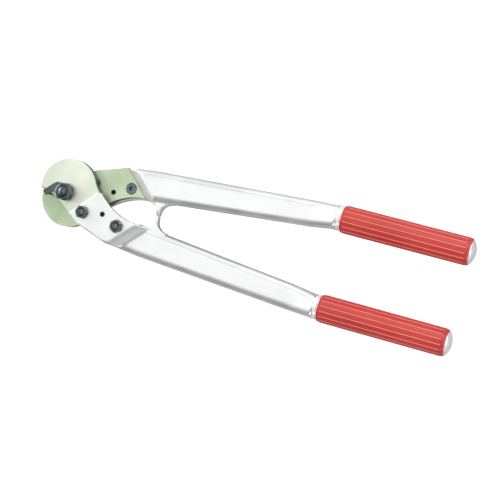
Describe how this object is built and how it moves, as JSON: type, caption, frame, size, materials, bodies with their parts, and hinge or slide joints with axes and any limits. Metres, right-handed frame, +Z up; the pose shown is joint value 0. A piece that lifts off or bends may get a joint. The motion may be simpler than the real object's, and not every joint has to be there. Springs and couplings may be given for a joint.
{
  "type": "wire rope cutter",
  "caption": "Two-hand wire rope cutter with round hooked blades on a pivot bolt, forged aluminium handles on stops and sleeved grips.",
  "frame": {"origin": "on the pivot axis, on the flat face of the pivot bolt's head, the plane the tool lies on", "axes": "+Z up the pivot axis, +X along the tool from the pivot towards the grips, +Y towards the upper handle"},
  "size_m": [0.4985, 0.13, 0.0424],
  "materials": {
    "forged_aluminium": "forged, tumbled satin",
    "front_blade_steel": "ground, clear-lacquered, warm cast",
    "rear_blade_steel": "ground and hardened, grey-green cast",
    "black_steel": "black oxide, lightly oiled",
    "plain_steel": "turned steel",
    "spring_steel": "dark spring steel",
    "red_sleeve": "semi-gloss soft vinyl"
  },
  "bodies": {
    "front_half": {"front_blade": "front_blade_steel", "lower_handle": "forged_aluminium", "lower_grip": "red_sleeve", "front_blade_screw_one": "black_steel", "front_blade_screw_two": "black_steel", "front_blade_nut_one": "black_steel", "front_blade_nut_two": "black_steel", "front_spring_pin": "spring_steel"},
    "rear_half": {"rear_blade": "rear_blade_steel", "upper_handle": "forged_aluminium", "upper_grip": "red_sleeve", "rear_blade_screw_one": "black_steel", "rear_blade_screw_two": "black_steel", "rear_blade_nut_one": "black_steel", "rear_blade_nut_two": "black_steel", "rear_spring_pin": "spring_steel", "pivot_bolt": "black_steel", "pivot_nut": "black_steel", "lock_plate": "black_steel", "front_pivot_washer": "plain_steel", "rear_pivot_washer": "plain_steel"}
  },
  "joints": [
    {"name": "jaw_pivot", "type": "hinge", "parent": "rear_half", "child": "front_half", "pos_m": [0, 0, 0.0205], "axis": [0, 0, -1], "range_deg": [0, 70]}
  ]
}
